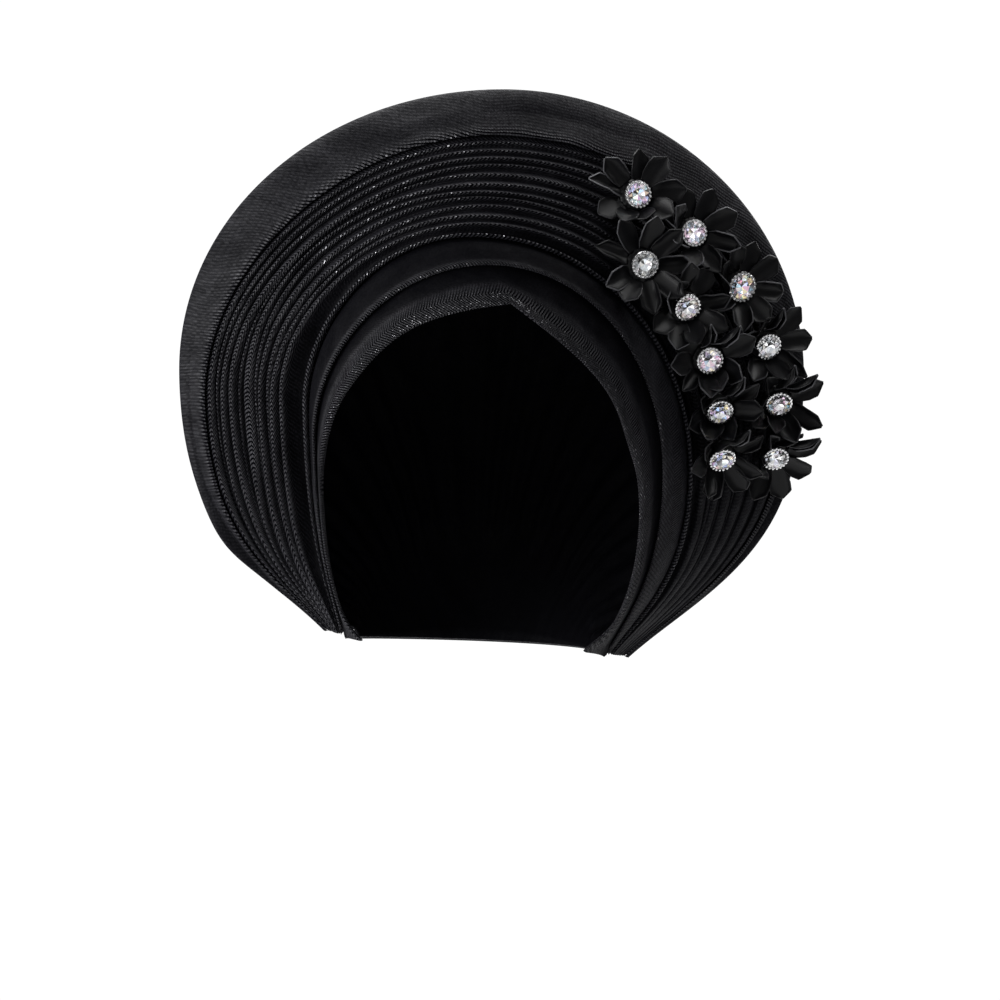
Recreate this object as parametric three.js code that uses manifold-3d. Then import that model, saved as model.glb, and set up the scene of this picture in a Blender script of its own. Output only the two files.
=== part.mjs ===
// A tied gele: a head tie of stiff woven cloth, folded into a pleated fan round the face,
// with a cluster of ribbon flowers pinned to one side of the fan.
// Millimetres, +Z up. The face opening looks along -Y, and +X is on the viewer's right.
// The origin is the middle of the head hollow, level with the wearer's eyes.
import * as THREE from "three";
import { mergeVertices } from "three/addons/utils/BufferGeometryUtils.js";
import Module from "manifold-3d";

const wasm = await Module();
wasm.setup();

// Gathers: where all folds meet behind the ears. The front end belongs to the fold at the face.
const GATHERS = {
  leftFront: [-60, 22, -70],
  leftBack: [-72, 40, -67],
  rightFront: [50, 22, -77],
  rightBack: [64, 40, -79],
};

// Main folds from the face outwards. Each is an arch that runs from the left gather through its widest
// point on the left, its top and its widest point on the right to the right gather.
//   stack      place in the gathers, from 0 at the front to 1 at the back
//   left, top, right   x, y, z of those three points
//   shoulders  roundness of the upper left and upper right quarter (0.55 is an ellipse)
//   hip        roundness below the widest points
//   peak       degrees by which the edge falls away to the right of its top
function fold(name, stack, left, top, right, shoulders, hip, peak) {
  return { name, stack, left, top, right, shoulders, hip, peak };
}
const FOLDS = [
  fold("face", 0, [-70, -36, -10], [11.5, -86, 73], [67, -36, -16], [0.68, 0.56], 0.55, 38),
  fold("second", 0.3, [-73, -40, 16], [2, -86, 89], [76.5, -40, 0], [0.53, 0.57], 0.55, 0),
  fold("third", 0.45, [-77, -34, 30], [-6, -80, 102], [89, -34, 0], [0.53, 0.57], 0.55, 0),
  fold("inner", 0.5, [-87, -24, 33], [-3, -75, 106.5], [94, -24, 4], [0.52, 0.57], 0.58, 0),
  fold("outer", 0.9, [-123, -6, 36], [4, -46, 147.5], [132, -6, 36], [0.5, 0.55], 0.61, 0),
  fold("rim", 1, [-134, 4, 48], [8, -30, 168], [139.5, 4, 46], [0.56, 0.55], 0.64, 0),
];
const PEAK_LEFT_SHARE = 0.15; // share of that fall on the left of the top
const GATHER_LEAN = { x: 0.45, y: 0.3, z: 0.25 }; // how the arches leave the gathers
const SIDE_LEAN = 0.35; // how far the arches lean forwards and back at their widest points
const PLEATS = 11; // ridges from the inner fold to the outer fold
const CREVICE = 3.4; // depth of the crevice beside a ridge
const FAN_WALL = 5; // folded thickness of the pleated fan
const GATHER_LOFT = 0.6; // share of a fold's thickness that is left in the gathers
const GATHER_LENGTH = 0.9; // quarters of the arch over which it comes back

const CROWN = {
  wall: 1.8,
  rimAcross: 4.9, // starts just behind the rim
  rimDepth: -3.2,
  backReach: 0.39, // how far the crown runs straight back, as a share of its span
  narrowing: 0.03, // how much it draws in on that stretch, as a share of its width
  napeReach: 0.17, // how far it stands out over the nape, as a share of its span
  napeRise: 0.46, // how steeply it comes down to the nape
};
// Shares of the way from the rim to the nape
const CROWN_RUN = [0, 0.13, 0.27, 0.41, 0.55, 0.68, 0.8, 0.9, 1];
const NAPE = {
  middle: -5,
  halfWidth: 57,
  front: 24,
  depth: 64,
  leftZ: -70,
  rightZ: -77,
  from: 0.12, // share of this half round at which the crown starts, and ends
  to: 0.88,
};
const NAPE_BAND = { wall: 2, gap: 0.6, from: 0.9 };
const RIM_FLAP = { wall: 1.8, gap: 0.4, to: 0.04 }; // the halo's turned edge, over the start of the crown

const FLOWER = {
  petals: 9,
  discRadius: 7.4,
  discHeight: 2.6,
  knee: 6.6, // where the petals rise out of the disc
  kneeHeight: 1.9,
  petalLength: 13,
  halfWidth: 5.8,
  kneeWidth: 0.4, // share of the width that is left at the knee
  shoulder: 0.6, // share of the length at which a petal is widest
  wall: 1,
  cup: 1.3, // how far a petal's edges stand over its middle
  twist: 14, // degrees that a petal is turned about its own length
};
const REST_PITCH = 8; // degrees that a free petal stands up from its flower
const SEAT_GAP = 0.4; // between a piece and what carries it
const CELL_GAP = 0.5; // from a petal to the plane half way to the next flower
const STONE = { girdle: 4.5, table: 2.5, ring: 5.9, facets: 10 };

// Flowers down the right side of the fan, in two columns.
//   across, along   place on the fan: fold number, and quarter of the arch
//   yaw, pitch      degrees that the flower looks to the right and up
//   turn            degrees that its petals are turned
const FLOWERS = [
  { across: 3.72, along: 2.34, yaw: 10, pitch: 8, turn: 10 },
  { across: 3.76, along: 2.505, yaw: 16, pitch: 4, turn: 26 },
  { across: 3.2, along: 2.445, yaw: 14, pitch: 4, turn: 4 },
  { across: 3.8, along: 2.68, yaw: 18, pitch: -3, turn: 33 },
  { across: 3.26, along: 2.61, yaw: 18, pitch: -6, turn: 17 },
  { across: 3.82, along: 2.84, yaw: 20, pitch: -12, turn: 8 },
  { across: 3.22, along: 2.755, yaw: 20, pitch: -16, turn: 29 },
  { across: 3.86, along: 2.985, yaw: 21, pitch: -22, turn: 21 },
  { across: 3.2, along: 2.885, yaw: 21, pitch: -22, turn: 2 },
  { across: 3.86, along: 3.115, yaw: 21, pitch: -30, turn: 14 },
  { across: 3.18, along: 3.005, yaw: 21, pitch: -28, turn: 36 },
];

const MATERIALS = {
  cloth: new THREE.MeshStandardMaterial({ color: 0x0b0b0d, roughness: 0.72, metalness: 0 }),
  satin: new THREE.MeshStandardMaterial({ color: 0x0c0c0d, roughness: 0.38, metalness: 0 }),
  crystal: new THREE.MeshStandardMaterial({ color: 0xe6e4ea, roughness: 0.08, metalness: 0.4 }),
};

const { lerp, degToRad, smoothstep } = THREE.MathUtils;
const vector = (xyz) => new THREE.Vector3(...xyz);

// The four curves of one fold's arch.
function archCurves({ stack, left, top, right, shoulders, hip, peak }) {
  const [L, T, R] = [left, top, right].map(vector);
  const gatherLeft = vector(GATHERS.leftFront).lerp(vector(GATHERS.leftBack), stack);
  const gatherRight = vector(GATHERS.rightFront).lerp(vector(GATHERS.rightBack), stack);
  const lower = (gather, side) => [
    new THREE.Vector3(
      lerp(gather.x, side.x, GATHER_LEAN.x),
      lerp(gather.y, side.y, GATHER_LEAN.y),
      lerp(gather.z, side.z, GATHER_LEAN.z),
    ),
    new THREE.Vector3(side.x, lerp(side.y, gather.y, SIDE_LEAN), lerp(side.z, gather.z, hip)),
  ];
  const upper = (side, round, fall) => {
    const drop = Math.abs(side.x - T.x) * round * Math.tan(degToRad(fall));
    return [
      new THREE.Vector3(side.x, lerp(side.y, T.y, SIDE_LEAN), lerp(side.z, T.z, round)),
      new THREE.Vector3(lerp(T.x, side.x, round), T.y, T.z - drop),
    ];
  };
  const [a1, a2] = lower(gatherLeft, L);
  const [b1, b2] = upper(L, shoulders[0], peak * PEAK_LEFT_SHARE);
  const [c1, c2] = upper(R, shoulders[1], peak);
  const [d1, d2] = lower(gatherRight, R);
  return [
    new THREE.CubicBezierCurve3(gatherLeft, a1, a2, L),
    new THREE.CubicBezierCurve3(L, b1, b2, T),
    new THREE.CubicBezierCurve3(T, c2, c1, R),
    new THREE.CubicBezierCurve3(R, d2, d1, gatherRight),
  ];
}
const ARCHES = FOLDS.map(archCurves);
const FOLD = Object.fromEntries(FOLDS.map((fold, i) => [fold.name, i]));

// Places along the arches: 0 is the left gather, 2 the top and 4 the right gather.
const ENDS = 4;
const LOWER_STEPS = 4;
const UPPER_STEPS = 8;
const STATIONS = [0, 1, 2, 3].flatMap((quarter) => {
  const steps = quarter === 0 || quarter === 3 ? LOWER_STEPS : UPPER_STEPS;
  return Array.from({ length: steps }, (_, i) => quarter + i / steps);
});
STATIONS.push(ENDS);

function archPoint(fold, along) {
  const quarter = Math.min(Math.floor(along), 3);
  return ARCHES[fold][quarter].getPoint(along - quarter);
}

function archTangent(fold, along) {
  const quarter = Math.min(Math.floor(along), 3);
  return ARCHES[fold][quarter].getTangent(along - quarter);
}

// A point on the ruled surface between the folds.
function surfacePoint(across, along) {
  const fold = Math.min(Math.floor(across), FOLDS.length - 2);
  return archPoint(fold, along).lerp(archPoint(fold + 1, along), across - fold);
}

// The way out of the cloth, the same for all folds at one place along the arches.
function outward(along) {
  const tangent = new THREE.Vector3();
  FOLDS.forEach((_, fold) => tangent.add(archTangent(fold, along)));
  const chord = archPoint(FOLD.rim, along).sub(archPoint(FOLD.face, along));
  return tangent.cross(chord).normalize();
}

// Thickness of the folds, full over the head and less in the gathers.
const loft = (along) => lerp(GATHER_LOFT, 1, smoothstep(Math.min(along, ENDS - along), 0, GATHER_LENGTH));

function foldPlace({ across, depth }, along) {
  return surfacePoint(across, along).addScaledVector(outward(along), depth * loft(along));
}

function signedVolume(positions, index) {
  const corner = (i) => new THREE.Vector3().fromArray(positions, index[i] * 3);
  let sum = 0;
  for (let i = 0; i < index.length; i += 3) sum += corner(i).dot(corner(i + 1).cross(corner(i + 2)));
  return sum / 6;
}

// A closed geometry with its faces pointing out.
function closedGeometry(positions, index) {
  if (signedVolume(positions, index) < 0)
    for (let i = 0; i < index.length; i += 3) [index[i + 1], index[i + 2]] = [index[i + 2], index[i + 1]];
  const geometry = new THREE.BufferGeometry();
  geometry.setAttribute("position", new THREE.Float32BufferAttribute(positions, 3));
  geometry.setIndex(index);
  geometry.computeVertexNormals();
  return geometry;
}

// Triangles that close a flat ring of positions.
function capTriangles(ring) {
  const normal = new THREE.Vector3();
  ring.forEach((a, i) => normal.add(a.clone().cross(ring[(i + 1) % ring.length])));
  const turn = new THREE.Quaternion().setFromUnitVectors(normal.normalize(), new THREE.Vector3(0, 0, 1));
  const flat = ring.map((position) => position.clone().applyQuaternion(turn));
  return THREE.ShapeUtils.triangulateShape(flat.map(({ x, y }) => new THREE.Vector2(x, y)), []);
}

// Sweeps a closed section along the stations.
// A section point lies on the folds unless it names another course.
function sweep(section) {
  const count = section.length;
  const rings = STATIONS.map((along) => section.map((point) => (point.course ?? foldPlace)(point, along)));
  const index = [];
  for (let i = 0; i + 1 < rings.length; i++)
    for (let j = 0; j < count; j++) {
      const a = i * count + j;
      const b = i * count + ((j + 1) % count);
      index.push(a, b, a + count, b, b + count, a + count);
    }
  const last = (rings.length - 1) * count;
  for (const [a, b, c] of capTriangles(rings[0])) index.push(a, c, b);
  for (const [a, b, c] of capTriangles(rings.at(-1))) index.push(last + a, last + b, last + c);
  return closedGeometry(rings.flat().flatMap((position) => position.toArray()), index);
}

const points = (...rows) => rows.map(([across, depth]) => ({ across, depth }));

// The band on the forehead: a rolled lip at the face, running up under the second fold.
function foreheadBand() {
  const outside = points([0, -1.3], [0.07, 0.3], [0.3, 0.5], [0.65, -0.7], [1, -2.4], [1.5, -3.4]);
  const inside = points([1.5, -5.2], [1, -4.3], [0.5, -2.4], [0.07, -2.3]);
  return sweep([...outside, ...inside]);
}

// The plain inner fold: its lip lies over the forehead band and its root runs under the fan.
function innerFold() {
  const outside = points([1, -0.9], [1.06, 0.5], [1.3, 0.6], [1.7, -1], [2, -3.2], [2.4, -5], [2.8, -6.5]);
  const inside = points([2.8, -8.3], [2.4, -6.9], [2, -5.1], [1.5, -1.9], [1.08, -2]);
  return sweep([...outside, ...inside]);
}

// The pleated fan: knife pleats whose edges all face inwards, so that each ridge drops into a crevice.
function pleatedFan() {
  const pitch = (FOLD.outer - FOLD.inner) / PLEATS;
  const end = FOLD.outer + 0.02;
  const lip = points([2, -2.4], [2, -0.6], [2.12, 0.2], [2.5, -0.8], [2.88, -CREVICE - 0.6]);
  const pleats = Array.from({ length: PLEATS }, (_, k) => FOLD.inner + k * pitch).flatMap((ridge) =>
    points([ridge, -0.5], [ridge + 0.25 * pitch, 0], [ridge + 0.86 * pitch, -CREVICE]),
  );
  const back = [end, 3.75, 3.5, 3.25, 3].map((across) => ({ across, depth: -FAN_WALL }));
  const root = points([2.8, -4.7], [2.4, -3.6]);
  return sweep([...lip, ...pleats, ...points([end, -CREVICE]), ...back, ...root]);
}

// The lower edge at the back of the neck.
function napePoint(share) {
  const angle = Math.PI * (1 - share);
  return new THREE.Vector3(
    NAPE.middle + NAPE.halfWidth * Math.cos(angle),
    NAPE.front + NAPE.depth * Math.sin(angle),
    lerp(NAPE.leftZ, NAPE.rightZ, share),
  );
}

// The crown's run from the rim, over the back of the head, to the nape.
function crownCurve(along) {
  const rim = foldPlace({ across: CROWN.rimAcross, depth: CROWN.rimDepth }, along);
  const nape = napePoint(lerp(NAPE.from, NAPE.to, along / ENDS));
  const span = rim.distanceTo(nape);
  const back = rim.clone().add(new THREE.Vector3(-CROWN.narrowing * rim.x, CROWN.backReach * span, 0));
  const away = new THREE.Vector3(nape.x - NAPE.middle, nape.y - NAPE.front, 0).normalize();
  const low = nape.clone().addScaledVector(away, CROWN.napeReach * span);
  low.z += CROWN.napeRise * span;
  return new THREE.CubicBezierCurve3(rim, back, low, nape);
}

// A point on the crown's course, raised by depth over it.
const CROWN_STEP = 0.01;
function crownPlace({ across, depth }, along) {
  const curve = crownCurve(along);
  const before = crownCurve(Math.max(along - CROWN_STEP, 0)).getPoint(across);
  const after = crownCurve(Math.min(along + CROWN_STEP, ENDS)).getPoint(across);
  const normal = after.sub(before).cross(curve.getTangent(across)).normalize();
  return curve.getPoint(across).addScaledVector(normal, depth);
}

const onCrown = (...rows) => points(...rows).map((point) => ({ ...point, course: crownPlace }));

// The halo: the plain outermost fold, turned over at the rim so that its edge lies on the crown.
function halo() {
  const { wall, gap, to } = RIM_FLAP;
  const front = points([3.96, 0.5], [3.98, 1.9], [4.15, 2.6], [4.55, 2.6], [4.86, 1.8], [5, -0.2]);
  const flap = onCrown([0, gap + wall], [to, gap + wall], [to, gap], [0, gap]);
  const inside = points([4.84, -0.8], [4.74, 0.3], [4.5, 0.8], [4.15, 0.6]);
  return sweep([...front, ...flap, ...inside]);
}

// A wall of even thickness on the crown's course, over some shares of its run.
function crownWall(run, outerDepth, innerDepth) {
  const outside = run.map((across) => [across, outerDepth]);
  const inside = run.map((across) => [across, innerDepth]).reverse();
  return sweep(onCrown(...outside, ...inside));
}

const backCrown = () => crownWall(CROWN_RUN, 0, -CROWN.wall);

// The band that ties the folds together across the nape, outside the crown.
function napeBand() {
  const run = CROWN_RUN.filter((share) => share >= NAPE_BAND.from);
  return crownWall(run, NAPE_BAND.gap + NAPE_BAND.wall, NAPE_BAND.gap);
}

function toSolid(geometry) {
  const bare = geometry.clone();
  for (const name of ["normal", "uv"]) bare.deleteAttribute(name);
  const merged = mergeVertices(bare, 1e-4);
  const mesh = new wasm.Mesh({
    numProp: 3,
    vertProperties: new Float32Array(merged.getAttribute("position").array),
    triVerts: new Uint32Array(merged.index.array),
  });
  return new wasm.Manifold(mesh);
}

function fromSolid(solid) {
  const mesh = solid.getMesh();
  const geometry = new THREE.BufferGeometry();
  geometry.setAttribute("position", new THREE.Float32BufferAttribute(mesh.vertProperties, 3));
  geometry.setIndex(new THREE.BufferAttribute(mesh.triVerts, 1));
  geometry.computeVertexNormals();
  return geometry;
}

const fuse = (geometries) => fromSolid(geometries.map(toSolid).reduce((whole, next) => whole.add(next)));

// Flowers. A flower is made in its own frame, with its face along +Z, and turned into its place.
function flowerMatrix({ across, along, yaw, pitch, turn }, lift) {
  const [a, b, spin] = [yaw, pitch, turn].map(degToRad);
  const axis = new THREE.Vector3(Math.sin(a) * Math.cos(b), -Math.cos(a) * Math.cos(b), Math.sin(b));
  const side = new THREE.Vector3(0, 0, 1).cross(axis).normalize();
  const seat = surfacePoint(across, along).addScaledVector(axis, lift);
  const frame = new THREE.Matrix4().makeBasis(side, axis.clone().cross(side), axis).setPosition(seat);
  return frame.multiply(new THREE.Matrix4().makeRotationZ(spin));
}

// The disc under the petals, with one side for each of them.
function discGeometry() {
  const { discRadius, discHeight, petals } = FLOWER;
  const start = Math.PI / 2 - Math.PI / petals;
  return new THREE.CylinderGeometry(discRadius, discRadius, discHeight, petals, 1, false, start)
    .rotateX(Math.PI / 2)
    .translate(0, 0, discHeight / 2);
}

// Whether a geometry in a flower's frame is clear of the cloth by the seat gap.
function clearOfCloth(geometry, matrix) {
  const lowered = new THREE.Matrix4().makeTranslation(0, 0, -SEAT_GAP).premultiply(matrix);
  return toSolid(geometry.clone().applyMatrix4(lowered)).intersect(CLOTH).isEmpty();
}

// The lowest seat at which a flower's disc rests on the ridges.
const LIFT = { from: -3, to: 9, step: 0.2 };
function seatFlower(flower) {
  const disc = discGeometry();
  let lift = LIFT.from;
  while (lift < LIFT.to && !clearOfCloth(disc, flowerMatrix(flower, lift))) lift += LIFT.step;
  return flowerMatrix(flower, lift);
}

// Whether a point stays on its own flower's side of the plane half way to each neighbour.
function inCell(point, own) {
  return CENTRES.every((other, i) => {
    if (i === own) return true;
    const between = other.clone().sub(CENTRES[own]);
    const half = between.length() / 2;
    return point.clone().sub(CENTRES[own]).dot(between.normalize()) < half - CELL_GAP;
  });
}

// A petal along +X: it rises out of the disc at the knee, and has broad shoulders and a pointed tip.
function petalPoints(pitch) {
  const angle = degToRad(pitch);
  const { knee, kneeHeight, kneeWidth, petalLength, halfWidth, shoulder, cup } = FLOWER;
  const row = (share, half, edge) => {
    const reach = share * petalLength;
    const x = knee + reach * Math.cos(angle);
    const z = kneeHeight + reach * Math.sin(angle);
    const back = edge * Math.sin(angle);
    const up = edge * Math.cos(angle);
    return [
      new THREE.Vector3(x - back, half, z + up),
      new THREE.Vector3(x, 0, z),
      new THREE.Vector3(x - back, -half, z + up),
    ];
  };
  const [, tip] = row(1, 0, 0);
  return [...row(0, kneeWidth * halfWidth, 0), ...row(shoulder, halfWidth, cup), tip];
}

function petalGeometry(pitch, turn) {
  const twist = new THREE.Matrix4().makeRotationX(degToRad(FLOWER.twist));
  const spin = new THREE.Matrix4().makeRotationZ(degToRad(turn));
  const middle = new THREE.Matrix4().makeTranslation(0, 0, FLOWER.kneeHeight - 0.5 * FLOWER.wall);
  const place = spin.multiply(middle).multiply(twist).multiply(middle.clone().invert());
  const top = petalPoints(pitch).map((point) => point.applyMatrix4(place));
  const below = top.map((point) => point.clone().add(new THREE.Vector3(0, 0, -FLOWER.wall)));
  const positions = [...top, ...below].flatMap((point) => point.toArray());
  const faces = [[0, 1, 4], [0, 4, 3], [1, 2, 5], [1, 5, 4], [3, 4, 6], [4, 5, 6]];
  const edge = [0, 3, 6, 5, 2, 1];
  const under = top.length;
  const index = faces.flatMap(([a, b, c]) => [a, b, c, under + a, under + c, under + b]);
  edge.forEach((a, i) => {
    const b = edge[(i + 1) % edge.length];
    index.push(a, b, under + b, a, under + b, under + a);
  });
  return closedGeometry(positions, index);
}

// The lowest pitch, from a free petal's upwards, at which a petal is clear of its neighbours and the cloth.
const STEEPEST = 84;
function fittedPetal(own, turn) {
  const matrix = FLOWER_MATRICES[own];
  const clear = (petal) => {
    const position = petal.clone().applyMatrix4(matrix).getAttribute("position");
    const corners = Array.from(position.array.keys()).filter((i) => i % 3 === 0);
    const apart = corners.every((i) => inCell(new THREE.Vector3().fromArray(position.array, i), own));
    return apart && clearOfCloth(petal, matrix);
  };
  let pitch = REST_PITCH;
  while (pitch < STEEPEST && !clear(petalGeometry(pitch, turn))) pitch += 2;
  return petalGeometry(pitch, turn);
}

function flowerGeometry(own) {
  const { petals } = FLOWER;
  const turns = Array.from({ length: petals }, (_, i) => (i * 360) / petals);
  return fuse([discGeometry(), ...turns.map((turn) => fittedPetal(own, turn))]);
}

// A round cut stone in a ring setting, standing on +Z.
function stoneGeometry() {
  const { girdle, table, ring, facets } = STONE;
  const setting = [[0, 0], [ring - 1.2, 0], [ring, 0.9], [ring - 0.2, 1.9]];
  const stone = [[girdle, 2.2], [table, 3.6], [0, 3.6]];
  const outline = [...setting, ...stone].map(([radius, height]) => new THREE.Vector2(radius, height));
  return new THREE.LatheGeometry(outline, facets).rotateX(Math.PI / 2);
}

function named(name, geometry, material) {
  const mesh = new THREE.Mesh(geometry, material);
  mesh.name = name;
  return mesh;
}

const gele = new THREE.Group();
const FRONT_FOLDS = {
  forehead_band: foreheadBand(),
  inner_fold: innerFold(),
  pleated_fan: pleatedFan(),
  halo: halo(),
};
const BACK = { back_crown: backCrown(), nape_band: napeBand() };
for (const [name, geometry] of Object.entries({ ...FRONT_FOLDS, ...BACK }))
  gele.add(named(name, geometry, MATERIALS.cloth));

const CLOTH = Object.values(FRONT_FOLDS).map(toSolid).reduce((whole, fold) => whole.add(fold));
const FLOWER_MATRICES = FLOWERS.map(seatFlower);
const CENTRES = FLOWER_MATRICES.map((matrix) => new THREE.Vector3().setFromMatrixPosition(matrix));

const stoneShape = stoneGeometry();
FLOWERS.forEach((_, i) => {
  const number = String(i + 1).padStart(2, "0");
  const seat = new THREE.Group();
  seat.applyMatrix4(FLOWER_MATRICES[i]);
  const stone = named(`stone_${number}`, stoneShape, MATERIALS.crystal);
  stone.position.z = FLOWER.discHeight + SEAT_GAP;
  seat.add(named(`flower_${number}`, flowerGeometry(i), MATERIALS.satin), stone);
  gele.add(seat);
});

export default gele;
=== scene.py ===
"""A tied gele head tie: pleated black cloth round an open face, with satin ribbon flowers and cut stones."""
import math

import bpy
import numpy as np
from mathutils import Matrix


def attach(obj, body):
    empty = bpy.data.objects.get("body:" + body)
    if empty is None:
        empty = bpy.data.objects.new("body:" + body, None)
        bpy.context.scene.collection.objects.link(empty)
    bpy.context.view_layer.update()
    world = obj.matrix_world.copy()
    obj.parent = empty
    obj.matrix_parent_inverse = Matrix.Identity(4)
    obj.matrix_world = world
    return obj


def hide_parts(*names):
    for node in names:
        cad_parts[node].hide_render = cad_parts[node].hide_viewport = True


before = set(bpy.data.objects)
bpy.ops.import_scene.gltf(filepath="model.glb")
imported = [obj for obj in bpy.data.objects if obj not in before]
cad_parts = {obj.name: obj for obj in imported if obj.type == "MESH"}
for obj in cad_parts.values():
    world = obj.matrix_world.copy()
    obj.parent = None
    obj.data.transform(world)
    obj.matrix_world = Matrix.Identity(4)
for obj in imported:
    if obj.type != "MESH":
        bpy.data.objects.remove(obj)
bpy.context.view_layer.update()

MM = 0.001
TAU = 2 * math.pi

# The folds, in millimetres, as in the part's source.
GATHERS = {
    "left_front": (-60, 22, -70),
    "left_back": (-72, 40, -67),
    "right_front": (50, 22, -77),
    "right_back": (64, 40, -79),
}
# stack: place in the gathers. left, top, right: points of the arch. shoulders, hip: how round its quarters
# are. peak: degrees by which the edge falls away to the right of its top.
FOLD_COLUMNS = ("stack", "left", "top", "right", "shoulders", "hip", "peak")
FOLD_ROWS = (
    (0, (-70, -36, -10), (11.5, -86, 73), (67, -36, -16), (0.68, 0.56), 0.55, 38),
    (0.3, (-73, -40, 16), (2, -86, 89), (76.5, -40, 0), (0.53, 0.57), 0.55, 0),
    (0.45, (-77, -34, 30), (-6, -80, 102), (89, -34, 0), (0.53, 0.57), 0.55, 0),
    (0.5, (-87, -24, 33), (-3, -75, 106.5), (94, -24, 4), (0.52, 0.57), 0.58, 0),
    (0.9, (-123, -6, 36), (4, -46, 147.5), (132, -6, 36), (0.5, 0.55), 0.61, 0),
    (1, (-134, 4, 48), (8, -30, 168), (139.5, 4, 46), (0.56, 0.55), 0.64, 0),
)
PEAK_LEFT_SHARE = 0.15
GATHER_LEAN = np.array([0.45, 0.3, 0.25])
SIDE_LEAN = 0.35
GATHER_LOFT = 0.6
GATHER_LENGTH = 0.9
ENDS = 4.0
LAST_FOLD = len(FOLD_ROWS) - 2

PLEATS = 11
INNER, OUTER = 3.0, 4.0
CREVICE = 3.4
FAN_WALL = 5.0

CROWN = {
    "across": 4.9, "depth": -3.2, "back": 0.39, "narrowing": 0.03, "out": 0.17, "rise": 0.46, "wall": 1.8,
}
NAPE = {"middle": -5, "half_width": 57, "front": 24, "depth": 64, "left_z": -70, "right_z": -77}
NAPE_FROM, NAPE_TO = 0.12, 0.88
NAPE_BAND = {"from": 0.9, "gap": 0.6, "wall": 2.0, "folds": 4}

# Flowers: degrees that each looks to the right and up, and that its petals are turned.
FLOWER_LOOKS = (
    (10, 8, 10), (16, 4, 26), (14, 4, 4), (18, -3, 33), (18, -6, 17), (20, -12, 8),
    (20, -16, 29), (21, -22, 21), (21, -22, 2), (21, -30, 14), (21, -28, 36),
)
# Millimetres by which each flower sits to the right of its solid and above it, along the cloth
FLOWER_SHIFTS = (
    (0.3, -0.6), (-1.0, -0.3), (0.2, -0.3), (-0.8, 0.3), (-1.0, 0.6), (-0.7, 0.7),
    (-0.6, 1.2), (-1.4, 1.6), (-1.2, 1.6), (-0.4, 2.2), (-0.6, 3.0),
)
# Degrees that each stone looks to the right and up. They are glued on a little askew.
STONE_LOOKS = (
    (20, -2), (20, -3), (16, -17), (26, -15), (23, -24), (23, -23),
    (14, -18), (12, -33), (16, -32), (11, -39), (18, -41),
)
# How grey each stone's tints are. The fourth stone is larger than the others.
STONE_GREYS = (0.1, 0.5, 0.85, 0.1, 0.7, 0.85, 0.35, 0.0, 0.3, 0.7, 0.4)
STONE_SIZES = (1, 1, 1, 1.12, 1, 1, 1, 1, 1, 1, 1)
PETALS = 9
PETAL_TURN = 360 / PETALS
PETAL = {"knee": 6.6, "knee_height": 1.9, "length": 14.2, "half_width": 5.2, "twist": 14, "wall": 0.32}
STONE_SEAT = 3.0

# The weave: width of a rib and of a stitch in millimetres, and the slope of the ribs
RIB = 1.8
STITCH = 0.9
SLANT = 0.8
# Level ribs: their rise to the right, where they start to fall away, how fast, and the shares of x and y in
# the length along them
LEVEL_RISE = 0.14
LEVEL_FALL_FROM = 20
LEVEL_FALL = 0.0025
LEVEL_RUN = (0.55, 0.4)
# Slack waves of the level ribs: size, and radians for each millimetre of x and of z
LEVEL_WAVES = ((0.9, 0.13, 0.05), (0.6, -0.21, 0.09))


def mix(a, b, share):
    return a + (b - a) * share


def smoothstep(x, low, high):
    share = np.clip((x - low) / (high - low), 0, 1)
    return share * share * (3 - 2 * share)


def hump(x, middle, reach):
    return np.exp(-(((x - middle) / reach) ** 2))


def unit(vectors):
    return vectors / np.linalg.norm(vectors, axis=-1, keepdims=True)


def running(steps, axis):
    """Running sums along an axis, from 0."""
    return np.cumsum(np.insert(steps, 0, 0, axis=axis), axis)


def closed(rings):
    """Rings whose first point comes again at the end."""
    return np.concatenate([rings, rings[:, :1]], 1)


def gather(side, stack):
    return mix(np.array(GATHERS[side + "_front"], float), np.array(GATHERS[side + "_back"], float), stack)


def arch_controls(row):
    """The control points of an arch's four Bezier curves, from the left gather to the right one."""
    fold = dict(zip(FOLD_COLUMNS, row))
    left, top, right = (np.array(fold[key], float) for key in ("left", "top", "right"))
    gather_left, gather_right = gather("left", fold["stack"]), gather("right", fold["stack"])

    def lower(end, side):
        out = np.array([side[0], mix(side[1], end[1], SIDE_LEAN), mix(side[2], end[2], fold["hip"])])
        return mix(end, side, GATHER_LEAN), out

    def upper(side, roundness, fall):
        drop = abs(side[0] - top[0]) * roundness * math.tan(math.radians(fall))
        low = np.array([side[0], mix(side[1], top[1], SIDE_LEAN), mix(side[2], top[2], roundness)])
        return low, np.array([mix(top[0], side[0], roundness), top[1], top[2] - drop])

    a1, a2 = lower(gather_left, left)
    b1, b2 = upper(left, fold["shoulders"][0], fold["peak"] * PEAK_LEFT_SHARE)
    c1, c2 = upper(right, fold["shoulders"][1], fold["peak"])
    d1, d2 = lower(gather_right, right)
    return [
        [gather_left, a1, a2, left], [left, b1, b2, top], [top, c2, c1, right], [right, d2, d1, gather_right],
    ]


ARCHES = np.array([arch_controls(row) for row in FOLD_ROWS])


def bezier(controls, t):
    s = 1 - t
    weights = (s ** 3, 3 * s * s * t, 3 * s * t * t, t ** 3)
    return sum(weight * controls[..., i, :] for i, weight in enumerate(weights))


def bezier_slope(controls, t):
    s = 1 - t
    steps = np.diff(controls, axis=-2)
    return sum(weight * steps[..., i, :] for i, weight in enumerate((s * s, 2 * s * t, t * t)))


def on_arches(curve, along):
    """A curve function on all arches: fold, station, xyz."""
    quarter = np.minimum(along.astype(int), 3)
    return curve(ARCHES[:, quarter], (along - quarter)[None, :, None])


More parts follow.
